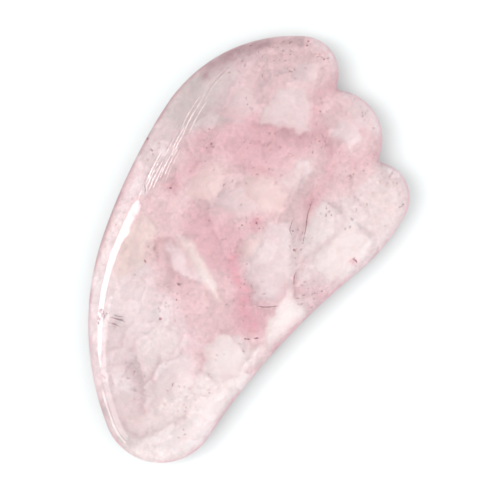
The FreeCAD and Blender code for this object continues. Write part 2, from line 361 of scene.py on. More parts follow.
# The grains, each a rough polygon: tone, strength and corners.
GRAINS = (
    ("pearl", 0.9, ((22.4, 8.4), (24.6, 10), (29.4, 10.8), (32, 9.2), (32.8, 6.4), (31, 3.6), (27.8, 0.8),
                    (26, 1.8), (24, 5.4))),
    ("pearl", 0.9, ((33.4, 10.2), (36.8, 10.4), (38.3, 8), (36, 6.6), (33.8, 7.4))),
    ("pearl", 0.8, ((18.6, 15), (23, 16.3), (26.6, 15.8), (25.2, 13), (24, 11.2), (20.6, 11.2),
                    (18.8, 12.8))),
    ("smoke", 0.7, ((11, 23), (20, 23.6), (27, 21.4), (27, 18.4), (20, 17.2), (13, 18.4))),
    ("lilac", 0.9, ((30, -2.9), (33.3, -2.3), (34.6, -5.1), (33, -8), (30.6, -7))),
    ("pearl", 0.8, ((35, -1.4), (38.4, -2.6), (38.6, -6), (36, -8.4), (34.6, -6.6), (35.2, -4))),
    ("milk", 0.6, ((16, -1.8), (19, -2.4), (21.4, -1.2), (23.8, -3.4), (22.4, -5), (16.6, -5.2))),
    ("beige", 0.9, ((12.5, 4.2), (15.5, 0.5), (15.5, -4.5), (12, -6), (10, -2.5), (10.5, 2))),
    ("milk", 0.9, ((11.8, -13.6), (14.8, -10.8), (19, -10.3), (20.2, -13), (17.6, -15.6), (13, -15.4))),
    ("milk", 1.0, ((8.6, -17), (13.6, -16), (19.8, -17), (20.2, -23), (13, -23.6), (8.6, -22))),
    ("milk", 0.4, ((20.8, -12.6), (25, -13.6), (29.5, -14), (30.5, -20), (28, -23.4), (21, -23.8))),
    ("lilac", 0.8, ((-0.5, -9.4), (1.4, -7.4), (5, -7.6), (9.4, -5.2), (12, -8.6), (9.4, -11), (6.6, -14),
                   (3.4, -15.6), (-1, -16.8), (-3, -14), (-2.6, -11))),
    ("beige", 0.9, ((2.6, 10), (6, 11.2), (10.4, 10.4), (11, 7.4), (8, 6), (4.6, 5.6), (3.4, 7))),
    ("beige", 0.8, ((1.6, -4.6), (4.4, -5), (5.4, -6.6), (3.4, -7.6), (0.8, -6.4))),
    ("pearl", 0.7, ((4.6, 4.6), (8.6, 5.2), (11, 3), (10, -1), (7, -1.4), (5.6, 1.2))),
    ("white", 1.0, ((-1.6, -18), (2.8, -16.4), (2.2, -20.6), (0.5, -22.4), (-5, -22.2), (-10, -22.2),
                    (-6.6, -19.2), (-4, -17.4))),
    ("lilac", 0.8, ((-10.4, 1.4), (-8.6, 5.8), (-6.4, 6.4), (-5.2, 4.6), (-7, 1.4), (-9, -1))),
    ("cream", 0.8, ((-4.2, 6), (-3.2, 3.4), (-5, -2), (-6.2, -6), (-8.6, -9), (-8.2, -4), (-6.4, 0.8))),
    ("milk", 1.0, ((-17, -12.6), (-12.8, -13), (-11.4, -16.4), (-14, -21), (-20, -21.6), (-20.6, -16))),
    ("milk", 0.5, ((-27, -3.6), (-20, -3.2), (-18.6, -6), (-20, -9.4), (-25, -8.9), (-29, -8.2))),
    ("lilac", 0.9, ((-29, -9.6), (-21.4, -10.4), (-19.6, -13), (-22, -15.6), (-27.6, -14.6), (-30.4, -12))),
    ("pearl", 0.8, ((-38, -6), (-32.6, -6.4), (-31.6, -11), (-33.6, -15.6), (-38.6, -14.8), (-40, -10.5))),
    ("milk", 0.9, ((-37, -18.6), (-31, -19.6), (-24, -20.4), (-20, -22), (-26, -23.6), (-34, -23.2))),
    ("lilac", 0.6, ((-31, 1.4), (-25.4, 3), (-20.4, 7.4), (-16.4, 6), (-18, -0.4), (-25, -1.8),
                    (-31.4, -3.8))),
    ("sand", 0.8, ((-18.6, 9), (-12.6, 12.4), (-6, 13.6), (-6.4, 9.4), (-10.6, 9), (-13.4, 6.6))),
)
GRAIN_EDGE = 0.7
# GRAIN_SHADE, GRAIN_SHADE_WIDTH and SHADE_SIDE set painted shade and light: each grain darker near its edge
# on the SHADE_SIDE and lighter on the opposite side.
GRAIN_SHADE = 0.28
GRAIN_SHADE_WIDTH = 1.1
SHADE_SIDE = np.array((-0.6, 0.8))
GRAIN_WARP = 0.7
WARP_SCALE = 2.6
RAGGED = 0.7
RAGGED_SCALE = 1.8

# Pink and grey veils between the grains, and white bands of painted light near the edges and beside the
# back's highlight: tone, strength, half width and route.
VEILS_AND_PAINTED_LIGHT = (
    ("rose", 1.0, 1.5, ((1.5, 13), (5, 13), (8, 13), (11, 15.5), (14.5, 14.5))),
    ("rose", 0.9, 1.8, ((11, 12.5), (16, 10.5), (20, 9), (22, 6))),
    ("rose", 0.9, 1.3, ((17, 8), (19, 5), (22, 2.5), (24, 3), (25.5, 0))),
    ("rose", 0.8, 1.4, ((25.5, 0), (28, -1), (31, 2), (34, 4), (37, 3))),
    ("rose", 0.9, 1.2, ((28, -1), (28, -5), (24, -8), (17, -9))),
    ("rose", 0.7, 1.2, ((28, -5), (29, -10), (32.5, -12))),
    ("rose", 1.0, 1.6, ((0.5, 6.5), (-1, 3), (-2, -2), (-2.6, -7))),
    ("rose", 0.5, 2.4, ((-18, -12), (-15, -7), (-12, -3), (-11, 1))),
    ("rose", 0.25, 0.8, ((-29.4, -3.6), (-30.6, -6.6), (-32.6, -9.6), (-31.4, -13.6))),
    ("rose", 0.5, 1.8, ((2.8, -18), (4.6, -20.4), (6, -22.6))),
    ("red", 0.9, 1.1, ((-0.4, -5), (-2, -7), (-3.4, -9))),
    ("red", 0.8, 1.5, ((-4, -11), (-6.5, -13), (-7.5, -16.5))),
    ("red", 0.8, 1.0, ((6.8, -3.8), (8.0, -3.6))),
    ("red", 0.5, 0.7, ((14.8, -22), (15, -23.8))),
    ("wine", 0.25, 0.5, ((14.4, 4.8), (15.8, 2.8), (17, 0.8))),
    ("wine", 0.35, 0.5, ((18.6, 7.4), (20.6, 4.6))),
    ("wine", 0.35, 0.9, ((1.2, 12.8), (2.4, 13.4))),
    ("wine", 0.3, 0.7, ((7.4, 13), (9, 12.6))),
    ("wine", 0.35, 0.7, ((12, 12.6), (13.2, 13.2))),
    ("haze", 0.6, 1.2, ((15.6, 17.6), (20, 17), (24.4, 18.4))),
    ("haze", 0.4, 0.7, ((34.2, 17.4), (36, 14), (37.8, 10.4))),
    ("haze", 0.25, 0.6, ((-36.6, -5), (-33.4, -7), (-31, -8.8))),
    ("haze", 0.45, 1.0, ((-35.4, -3.4), (-37.8, -7.4), (-38.8, -11.6))),
    ("haze", 0.45, 0.8, ((-29.6, 1.6), (-27, 3.4), (-24, 3))),
    ("haze", 0.4, 0.4, ((20.4, -18.8), (20.4, -23))),
    ("haze", 0.4, 0.4, ((23.4, -19), (24, -16), (24.5, -13))),
    ("haze", 0.35, 0.6, ((8.4, -15.4), (12, -15.8), (17.6, -16.4))),
    ("dusk", 0.8, 1.5, ((22.6, 23.2), (27, 22.4), (31, 20.9), (34.4, 18.6))),
    ("dusk", 0.45, 1.2, ((34.4, 18.6), (37.6, 15.6), (39.8, 12.6))),
    # Painted highlight: a pale glow where the polishing scratches at the top end of the back's highlight
    # catch the lamp.
    ("snow", 0.5, 1.2, ((-2.6, 16.4), (1, 17.4), (5, 18.4))),
    # Painted light along the tip and the lower edge, where light carried through the stone comes out at its
    # edges.
    ("snow", 0.5, 1.8, ((-36, -18.4), (-33.6, -21), (-30, -22), (-24, -21.6))),
    ("snow", 0.8, 1.2, ((-33, -24.4), (-22, -23.8), (-15, -23))),
    ("rose", 0.4, 1.0, ((-14, -22.4), (-5, -22.2), (2, -22.2), (10, -22.6))),
    ("snow", 0.5, 1.5, ((-33, -5), (-32, -8), (-32.6, -11))),
    ("snow", 0.5, 1.4, ((-22, -2.2), (-18.6, -1.6))),
    ("snow", 0.4, 1.4, ((-14.6, 7), (-13.4, 4.4))),
    ("snow", 0.5, 1.2, ((-3, -13.4), (-1, -14.6))),
    ("snow", 0.4, 1.2, ((9, -10.6), (11, -9.6))),
    ("snow", 0.4, 1.2, ((-8.6, -0.8), (-7.6, -3.4))),
    ("snow", 0.3, 1.2, ((33.4, 9.6), (35, 10.6))),
    ("haze", 0.3, 1.4, ((15, -14), (17.4, -14))),
    ("haze", 0.35, 1.4, ((-33, -1.6), (-31, -2.6))),
    # Painted light along the working edge and the teeth, where light carried through the stone comes out at
    # its edges.
    ("snow", 0.7, 1.0, ((12, -24.2), (20, -24.8), (28, -24.4), (31.8, -22.4), (33.4, -18.6), (33, -14.6))),
    ("snow", 0.6, 1.0, ((36.8, -9.4), (38.8, -6), (39.2, -2.6), (38, 0.6))),
    ("snow", 0.6, 1.0, ((40.6, 5), (42, 8.4), (41.4, 12))),
    # Painted light: the pale band between the back's outline and its highlight, where the white table shows
    # through the clear rounded edge.
    ("snow", 0.6, 1.2, ((-32.6, 4.6), (-26, 9), (-18, 13), (-9, 16.8), (-2, 19))),
)

# Folds, sharp on one side and fading on the other, which lies left of the route.
FOLDS = (
    ("wine", 0.6, 0.6, ((11.8, -12.4), (13.4, -11.4), (15.4, -10), (17, -9.4), (19, -8.2))),
    ("wine", 0.45, 0.9, ((0.4, -0.4), (1.6, 2), (2.6, 4), (4, 6))),
    ("wine", 0.45, 1.3, ((27, 0.8), (25.6, 2.6), (24.2, 5.4), (22.6, 8.6))),
    ("wine", 0.6, 0.7, ((-5.8, 4.8), (-6, 6.8), (-8.2, 8.4), (-9.8, 7.6), (-10.8, 6))),
    ("wine", 0.3, 1.3, ((28, -5.4), (29.9, -2.2))),
    ("wine", 0.5, 0.6, ((8.6, -15.2), (5.8, -15.8), (3.4, -17.4), (2.2, -18.6))),
    ("wine", 0.25, 1.4, ((0.4, -5.4), (-1.6, -8.6), (-3, -10.8))),
    ("rose", 0.8, 0.9, ((-10, -19.8), (-5, -18.4), (-1.4, -17.8), (2, -17))),
    ("rose", 0.8, 1.0, ((-20.6, -15.4), (-17, -12.6), (-13.6, -12.4), (-11, -15.4))),
    ("rose", 0.7, 1.2, ((18.4, 15.4), (20.4, 11), (23.6, 10.8))),
    ("dusk", 0.4, 0.9, ((-27.6, -5.4), (-26.4, -3), (-24, -2.2), (-20.4, -3))),
    ("dusk", 0.6, 1.0, ((-33.4, -12), (-31.4, -10), (-29.6, -8.9), (-25.6, -8.6), (-21.6, -10))),
    ("dusk", 0.5, 0.9, ((-38.6, -14.6), (-36, -16.8), (-33, -17.9), (-29, -19))),
    ("haze", 0.8, 1.1, ((-30, -9), (-28.6, -5.4), (-27.2, -3.2))),
    ("haze", 0.5, 0.6, ((-20.4, -19.6), (-20.2, -17), (-20.8, -14.6))),
    ("haze", 0.8, 1.0, ((26, 11.4), (28, 12.8), (30.6, 12.8), (32.4, 11.6))),
    ("haze", 0.7, 0.9, ((20.4, -3.6), (17, -5.6), (13.6, -6.4))),
    ("haze", 0.7, 0.9, ((9, 6.2), (5, 5), (3.6, 7))),
    ("dusk", 0.45, 0.8, ((-19, -19.8), (-16.6, -21), (-13.4, -20.6))),
    ("dusk", 0.4, 0.8, ((-13, -12.4), (-12, -15), (-12.6, -18))),
    ("haze", 0.7, 1.0, ((-31.6, 0.6), (-28, -0.4), (-24.4, 0.6))),
    ("haze", 0.3, 1.0, ((33.6, 11), (35, 9), (34, 6.6))),
    ("haze", 0.6, 0.8, ((-7.4, 13.2), (-11, 11.8), (-14.4, 9.2))),
    ("haze", 0.6, 0.8, ((20.2, -15.6), (20.6, -12.8), (19.6, -10.4))),
    ("wine", 0.4, 0.9, ((-8.8, -2), (-9.6, 2), (-8, 5.4))),
)
FOLD_EDGE = 0.12
FOLD_STRENGTH = 1.25


def linear(rgb):
    """A display colour out of 255 as the scene's linear light."""
    share = np.array(rgb) / 255
    return np.where(share < 0.04045, share / 12.92, ((share + 0.055) / 1.055) ** 2.4)


def route_gaps(points, route):
    """Each point's distance from a line of points, and on which side of it the point lies."""
    nearest = np.full(len(points), 1e9)
    sides = np.ones(len(points))
    route = np.array(route, float)
    for start, end in zip(route, route[1:]):
        line = end - start
        offset = points - start
        along = np.clip(offset @ line / (line @ line), 0, 1)
        distance = np.linalg.norm(offset - along[:, None] * line, axis=1)
        closer = distance < nearest
        nearest[closer] = distance[closer]
        sides[closer] = np.sign(line[0] * offset[closer, 1] - line[1] * offset[closer, 0])
    return nearest, sides


def depth_inside(points, corners):
    """How far inside a polygon each point is; negative outside it."""
    loop = np.array(corners, float)
    distance, _ = route_gaps(points, np.vstack((loop, loop[:1])))
    return np.where(inside(loop, points), distance, -distance)


def blend(colour, tone, share):
    """The colours with a tone mixed in."""
    share = np.clip(share, 0, 1)[:, None]
    return colour * (1 - share) + linear(PALETTE[tone]) * share


def warped(points):
    """Where each point falls in the plan of the grains, so that their edges wander."""
    flat = np.column_stack((points[:, :2], np.zeros(len(points))))
    warp = np.column_stack((waviness(flat, WARP_SCALE, 4, 11.0), waviness(flat, WARP_SCALE, 4, 23.0)))
    return points[:, :2] + GRAIN_WARP * warp


def stone_colours(points):
    """The stone's tone at each point, from its clouds, grains, and the veils between, with painted shade and
    light on opposite sides of each grain and painted light near the edges, and how
    gritty it is there: smooth in a grain and rough in a veil."""
    flat = np.column_stack((points[:, :2], np.zeros(len(points))))
    place = warped(points)
    grit = np.ones(len(points))
    total = np.zeros(len(points))
    colour = np.zeros((len(points), 3))
    for centre, reach, tone in CLOUDS:
        distance = np.linalg.norm(place - np.array(centre), axis=1) / reach
        weight = np.exp(-2 * distance**2) + 1e-9
        total += weight
        colour += weight[:, None] * linear(PALETTE[tone])
    colour /= total[:, None]
    for tone, strength, corners in GRAINS:
        depth = depth_inside(place, corners)
        share = strength / (1 + np.exp(-4 * depth / GRAIN_EDGE))
        colour = blend(colour, tone, share)
        # Painted shade and light: each grain darker near its edge on the SHADE_SIDE and lighter on the
        # opposite side, as if lit from one side.
        outward = place - np.mean(corners, axis=0)
        facing = outward @ SHADE_SIDE / np.linalg.norm(outward, axis=1)
        rim = share * np.exp(-np.abs(depth) / GRAIN_SHADE_WIDTH)
        colour *= (1 - GRAIN_SHADE * rim * facing)[:, None]
        grit *= 1 - share
    ragged = np.clip(1 + RAGGED * waviness(flat, RAGGED_SCALE, 3, 31.0), 0, 2)
    # Among these, the white bands near the edges and by the back's highlight are painted light.
    for tone, strength, width, route in VEILS_AND_PAINTED_LIGHT:
        distance, _ = route_gaps(place, route)
        share = strength * np.exp(-((distance / width) ** 2)) * ragged
        colour = blend(colour, tone, share)
        if tone != "snow":
            grit = np.maximum(grit, np.clip(share, 0, 1))
    for tone, strength, width, route in FOLDS:
        distance, side = route_gaps(place, route)
        shade = np.exp(-distance / width) / (1 + np.exp(-side * distance / FOLD_EDGE))
        share = FOLD_STRENGTH * strength * shade * (0.5 + 0.5 * ragged)
        colour = blend(colour, tone, share)
    return colour, grit


def store_colours(piece, colours, grit):
    """Keeps the stone's tones and grit on the mesh for its material."""
    colours = np.column_stack((colours, np.ones(len(colours))))
    tones = piece.data.color_attributes.new("stone_tone", "FLOAT_COLOR", "POINT")
    tones.data.foreach_set("color", colours.astype(np.float32).ravel())
    rough = piece.data.attributes.new("stone_grit", "FLOAT", "POINT")
    rough.data.foreach_set("value", grit.astype(np.float32))


# ---------------------------------------------------------------- materials

# How much of the stone's depth of colour the skin and the core each give.
SKIN_SHARE = 0.65
CORE_SHARE = 0.33
# The span that most of a noise texture's values lie in.
NOISE_SPAN = (0.3, 0.7)
MOTTLES_PER_METRE = 1100.0
MOTTLE_SMOOTH = 0.16
MOTTLE_GRITTY = 0.5
FACETS_PER_METRE = 260.0
FACET_BEND = 5.0
FACET_STRETCH = (1.0, 1.5, 0.4)
FACET_HEADING = math.radians(35)
FACET_SMOOTH = 0.14
FACET_GRITTY = 0.34
FACET_EDGE = 0.1
FACET_EDGE_STRENGTH = 0.4
DOTS_PER_METRE = 520.0
DOT_EDGE = (0.12, 0.22)
DOT_SHARE = 0.3
DOT_STRENGTH = 0.7
FILM_SPOTS_PER_METRE = 4000.0
FILM_ROUGHNESS = (0.1, 0.5)


def feed(material, node, socket, value):
    """Sets a node's input, or links it if the value is another node's output, given as
    (node, output)."""
    if isinstance(value, tuple) and isinstance(value[1], str):
        source, output = value
        material.node_tree.links.new(source.outputs[output], node.inputs[socket])
    else:
        node.inputs[socket].default_value = value


def add_node(material, kind, *values, **settings):
    """A node of that kind. Settings are its properties, or else its inputs by name, and the
    other values go to its inputs in order."""
    node = material.node_tree.nodes.new(kind)
    for name, value in settings.items():
        if hasattr(node, name):
            setattr(node, name, value)
        else:
            feed(material, node, name, value)
    for socket, value in enumerate(values):
        feed(material, node, socket, value)
    return node


def new_material(name, **inputs):
    """A node material and its shader, with the shader's own inputs set by name."""
    material = bpy.data.materials.new(name)
    material.use_nodes = True
    shader = material.node_tree.nodes["Principled BSDF"]
    for key, value in inputs.items():
        feed(material, shader, key.replace("_", " "), value)
    return material, shader


def stored_tones(material):
    """The tones and the grit kept on the mesh, and the place they are read at."""
    tones = add_node(material, "ShaderNodeAttribute", attribute_name="stone_tone")
    grit = add_node(material, "ShaderNodeAttribute", attribute_name="stone_grit")
    place = add_node(material, "ShaderNodeTexCoord")
    return (tones, "Color"), (grit, "Fac"), (place, "Object")


def scaled(material, value, factor):
    """A value times a number or times another value."""
    return add_node(material, "ShaderNodeMath", value, factor, operation="MULTIPLY"), "Value"


def shaded(material, colour, swing):
    """A colour made lighter or darker by a value round zero."""
    shade = add_node(material, "ShaderNodeMath", swing, 1.0, operation="ADD"), "Value"
    return add_node(material, "ShaderNodeVectorMath", colour, operation="SCALE", Scale=shade), "Vector"


def mixed_tone(material, colour, tone, share):
    """A palette tone mixed into a colour by a value."""
    other = (*linear(PALETTE[tone]), 1)
    mix = add_node(material, "ShaderNodeMix", data_type="RGBA", Factor=share, A=colour, B=other)
    return mix, "Result"


def ranged(material, value, start, end, low, high):
    """A value's range from start to end, moved to low to high and held there."""
    return add_node(material, "ShaderNodeMapRange", value, start, end, low, high), "Result"


def thinned(material, colour, share):
    """A colour as seen through only that share of the stone."""
    return add_node(material, "ShaderNodeGamma", Color=colour, Gamma=share), "Color"


def mottling(material, colour, grit, place):
    """Cloudy mottling, stronger where the stone is gritty."""
    mottle = add_node(
        material,
        "ShaderNodeTexNoise",
        Vector=place,
        Scale=MOTTLES_PER_METRE,
        Detail=4.0,
        Roughness=0.65,
        Distortion=0.6,
    )
    swing = ranged(material, (mottle, "Fac"), *NOISE_SPAN, -0.5, 0.5)
    reach = ranged(material, grit, 0.0, 1.0, MOTTLE_SMOOTH, MOTTLE_GRITTY)
    return shaded(material, colour, scaled(material, swing, reach))


def facets(material, colour, grit, place):
    """Small grown crystals: each a little lighter or darker, with a faint pink edge."""
    bend = add_node(material, "ShaderNodeTexNoise", Vector=place, Scale=FACETS_PER_METRE, Detail=2.0)
    reach = (FACET_BEND * MM,) * 3
    bent = add_node(
        material, "ShaderNodeVectorMath", (bend, "Color"), reach, place, operation="MULTIPLY_ADD"
    )
    turn = (0, 0, FACET_HEADING)
    turned = add_node(
        material, "ShaderNodeMapping", Vector=(bent, "Vector"), Scale=FACET_STRETCH, Rotation=turn
    )
    spot = (turned, "Vector")

    cells = add_node(material, "ShaderNodeTexVoronoi", Vector=spot, Scale=FACETS_PER_METRE)
    tint = add_node(material, "ShaderNodeSeparateColor", (cells, "Color"))
    swing = ranged(material, (tint, "Red"), 0.0, 1.0, -1.0, 1.0)
    reach = ranged(material, grit, 0.0, 1.0, FACET_SMOOTH, FACET_GRITTY)
    colour = shaded(material, colour, scaled(material, swing, reach))

    edges = add_node(
        material,
        "ShaderNodeTexVoronoi",
        feature="DISTANCE_TO_EDGE",
        Vector=spot,
        Scale=FACETS_PER_METRE,
    )
    edge = ranged(material, (edges, "Distance"), 0.0, FACET_EDGE, FACET_EDGE_STRENGTH, 0.0)
    return mixed_tone(material, colour, "rose", edge)


def red_dots(material, colour, grit, place):
    """Tiny red grains of dust in the gritty veils."""
    dots = add_node(material, "ShaderNodeTexVoronoi", Vector=place, Scale=DOTS_PER_METRE)
    dot = ranged(material, (dots, "Distance"), *DOT_EDGE, 1.0, 0.0)
    tint = add_node(material, "ShaderNodeSeparateColor", (dots, "Color"))
    some = add_node(material, "ShaderNodeMath", (tint, "Red"), DOT_SHARE, operation="LESS_THAN")
    dot = scaled(material, dot, (some, "Value"))
    dot = scaled(material, dot, grit)
    return mixed_tone(material, colour, "wine", scaled(material, dot, DOT_STRENGTH))


def skin_material():
    """Polished quartz: clear, with some of its own milkiness."""
    material, shader = new_material("polished_quartz", Roughness=0.04, IOR=1.54, Transmission_Weight=0.85)
    colour = mottling(material, *stored_tones(material))
    feed(material, shader, "Base Color", thinned(material, colour, SKIN_SHARE))
    return material


def core_material():
    """The clouded heart of the stone, which light wanders through."""
    material, shader = new_material(
        "clouded_quartz",
        Subsurface_Weight=0.5,
        Subsurface_Radius=(1.0, 0.7, 0.7),
        Subsurface_Scale=CORE_GLOW * MM,
        Roughness=0.6,
        Specular_IOR_Level=0.1,
    )
    colour, grit, place = stored_tones(material)
    for pattern in (mottling, facets, red_dots):
        colour = pattern(material, colour, grit, place)
    feed(material, shader, "Base Color", thinned(material, colour, CORE_SHARE))
    return material


def inclusion_material():
    """Cracks and flecks: rough, with the stone's mottling."""
    material, shader = new_material("mineral", Roughness=0.5)
    feed(material, shader, "Base Color", mottling(material, *stored_tones(material)))
    return material


def film_material():
    """Thin films of air in open cracks, which mirror the light."""
    material, shader = new_material("air_film", Metallic=1.0)
    colour, grit, place = stored_tones(material)
    feed(material, shader, "Base Color", mottling(material, colour, grit, place))
    spots = add_node(material, "ShaderNodeTexNoise", Vector=place, Scale=FILM_SPOTS_PER_METRE, Detail=2.0)
    feed(material, shader, "Roughness", ranged(material, (spots, "Fac"), *NOISE_SPAN, *FILM_ROUGHNESS))
    return material


# ---------------------------------------------------------------- the board's skin

SKIN_STEP = 0.42
SKIN_TURN = math.radians(5)
SKIN_LEANS = 26
FACE_STEP = 0.42
FACE_MARGIN = 0.3

# Painted light and shade along the outline, where the rounded edge bends and reflects light inside the
# stone: tone, strength at the working edge, at the back, and width.
PAINTED_RIM_LINES = (("pink", 0.8, 0.3, 0.45), ("wine", 0.2, 0.85, 0.6))
RIM_PATCH_SCALE = 4.0
RIM_PATCH_RANGE = (0.3, 1.7)
HAND_POLISH = 0.03
HAND_POLISH_SCALE = 13.0
HAND_RIPPLE = 0.007
HAND_RIPPLE_SCALE = 1.7

# Small pits where the polish broke out: centre, radius and depth.
PITS = (
    ((-26.1, 6.2, 5.1), 0.95, 0.30),
    ((5.6, 23.0, 4.0), 0.45, 0.20),
)
PIT_BREAK = 0.5
PIT_BREAK_SCALE = 0.35


def press_pits(points, normals):
    """Pushes the skin in at each pit, with a broken floor."""
    for centre, radius, depth in PITS:
        distance = np.linalg.norm(points - np.array(centre), axis=1) / radius
        near = distance < 1
        bowl = (1 - distance[near] ** 2) ** 2
        broken = 1 + PIT_BREAK * waviness(points[near], PIT_BREAK_SCALE, 2, 4.0)
        points[near] -= normals[near] * (depth * bowl * broken)[:, None]
    return points


def build_skin():
    """The polished surface, which never stands outside the designed board."""
    outline, out = outline_samples(SKIN_STEP, SKIN_TURN)
    rings = nose_rings(outline, SKIN_LEANS, 0)
    points, normals, insets, faces = ring_shape(outline, out, rings, FACE_STEP, FACE_MARGIN)
    hollows = HAND_POLISH * np.clip(1 + waviness(points, HAND_POLISH_SCALE, 2, 0.0), 0, 2)
    hollows += HAND_RIPPLE * np.clip(1 + waviness(points, HAND_RIPPLE_SCALE, 2, 3.0), 0, 2)
    points -= normals * hollows[:, None]
    points = press_pits(points, normals)
    skin = make_mesh("polished_skin", points, faces, skin_material())
    back = np.clip(normals[:, 1] / (np.hypot(normals[:, 0], normals[:, 1]) + 1e-6), 0, 1)
    tones, grit = stone_colours(points)
    patchy = np.clip(1 + waviness(points, RIM_PATCH_SCALE, 3, 17.0), *RIM_PATCH_RANGE)
    # Painted light and shade: lines along the outline for the light that the rounded edge bends and
    # reflects.
    for tone, edge_strength, back_strength, width in PAINTED_RIM_LINES:
        strength = (edge_strength + (back_strength - edge_strength) * back) * patchy
        tones = blend(tones, tone, strength * np.exp(-((insets / width) ** 2)))
    store_colours(skin, tones, grit)
    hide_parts("stone_board")


# ---------------------------------------------------------------- the clouded core

CORE_STEP = 0.6
CORE_LEANS = 12
CORE_FACE_STEP = 0.32
CORE_FACE_MARGIN = 0.25
CORE_DEPTH = 0.4
CORE_GLOW = 4.0
RELIEF_REACH = 1.6
RELIEF_RISE = 0.5
RELIEF_TILT = 0.16
RELIEF_TOP = 0.3
RELIEF_FADE = 3.0
RELIEF_SINK = 0.9
SWELL = 0.12
SWELL_SCALE = 5.0


def stone_relief(points, insets):
    """How far the cloudy layer rises and falls under the surface: each grain is a low facet
    with a tilt of its own, and the veils between them are sunk."""
    draw = random.Random(SEED)
    place = warped(points)
    rise = SWELL * waviness(points, SWELL_SCALE, 3, 47.0)
    for _, _, corners in GRAINS:
        heading = draw.uniform(0, 2 * math.pi)
        lean = np.array((math.cos(heading), math.sin(heading))) * RELIEF_TILT
        depth = depth_inside(place, corners)
        facet = RELIEF_RISE * np.clip(depth / RELIEF_REACH, 0, 1) ** 0.7
        facet += (place - np.mean(corners, axis=0)) @ lean
        share = 1 / (1 + np.exp(-6 * depth / GRAIN_EDGE))
        rise = rise * (1 - share) + facet * share
    rise -= RELIEF_RISE * RELIEF_SINK
    rise *= np.clip((insets - NOSE_WIDTH) / RELIEF_FADE, 0, 1)
    return np.minimum(rise, CORE_DEPTH - RELIEF_TOP)


def build_core():
    """The stone's clouded heart, a little under the polished surface."""
    outline, out = outline_samples(CORE_STEP, SKIN_TURN)
    rings = nose_rings(outline, CORE_LEANS, CORE_DEPTH)
    points, normals, insets, faces = ring_shape(outline, out, rings, CORE_FACE_STEP, CORE_FACE_MARGIN)
    tones, grit = stone_colours(points)
    flat = np.abs(normals[:, 2])
    points += normals * (flat * stone_relief(points, insets))[:, None]
    core = make_mesh("clouded_core", points, faces, core_material())
    store_colours(core, tones, grit)


# ---------------------------------------------------------------- cracks, flecks and air films

# Thin cracks and scratches under the surface: tone, half width, depth and route.
CRACKS = (
    ("dusk", 0.10, 0.2, ((18, -8.8), (15.4, -10), (13.4, -11.4), (11.4, -12.6))),
    ("dusk", 0.08, 0.2, ((12.6, -8.6), (11, -9.4), (10.4, -10.6))),
    ("wine", 0.10, 0.2, ((5.8, -15.8), (4.8, -16.2), (3.6, -17.2))),
    ("dusk", 0.10, 0.2, ((-4.4, -14.4), (-3.4, -15.8), (-2.2, -17), (-1.2, -17.8))),
    ("white", 0.12, 0.2, ((-4.2, -15), (-3.4, -16.4), (-2.2, -17.6))),
    ("wine", 0.20, 0.2, ((-10.6, -17.1), (-10.1, -17.6), (-9.8, -18.1))),
    ("wine", 0.16, 0.2, ((-9.3, -18.5), (-8.8, -18.8), (-8.5, -19.2))),
    ("dusk", 0.10, 0.2, ((-25, 5), (-24.6, 4.2), (-24, 3), (-23.6, 2))),
    ("dusk", 0.08, 0.2, ((-24.2, 5), (-23.8, 3.8), (-23, 2.8))),
    ("dusk", 0.08, 0.2, ((-26, 4.4), (-25.4, 3.4), (-25, 2))),
    ("white", 0.10, 0.3, ((-24.8, 4.8), (-24.2, 3.6), (-23.6, 2.6))),
    ("ash", 0.10, 0.1, ((-3, 15.8), (-2, 16.6), (-1.4, 17.4))),
    ("haze", 0.14, 0.1, ((-4.2, 15.4), (-2.8, 15.4), (-1.6, 15.8))),
    ("white", 0.14, 0.25, ((21.6, 1), (21.7, 0.2), (21.8, -0.4))),
    ("wine", 0.16, 0.35, ((15, -22), (15.2, -22.8), (15, -23.4))),
)
CRACK_STEP = 0.2
CRACK_SIDES = 8
CRACK_WANDER = 0.6
CRACK_WANDER_SCALE = 0.6
CRACK_RAGGED = 0.8
CRACK_RAGGED_SCALE = 0.5
CRACK_POINT = 0.02
CRACK_THICKNESS = 0.09
CRACK_COVER = 0.8

# Polishing scratches side by side along the back: first line, spacing, how many, half width.
SCRATCHES = (
    (((-1.4, 15.4), (1.6, 16.4), (5.2, 17.4)), 0.55, 4, 0.12),
    (((1.8, 14.8), (5, 15.9), (8.4, 16.8)), 0.55, 3, 0.07),
    (((6.2, 17), (9, 17.8), (11.8, 18.4)), 0.6, 3, 0.07),
    (((10.4, 17.2), (14, 18.4), (18.4, 19.2)), 0.75, 3, 0.06),
    (((18, 19.4), (22, 20.3), (26.6, 20.2)), 0.7, 2, 0.06),
)
SCRATCH_DEPTH = 0.05
SCRATCH_SLIP = 0.8
SCRATCH_SHIFT = 0.4
SCRATCH_WIDTHS = (0.6, 1.3)

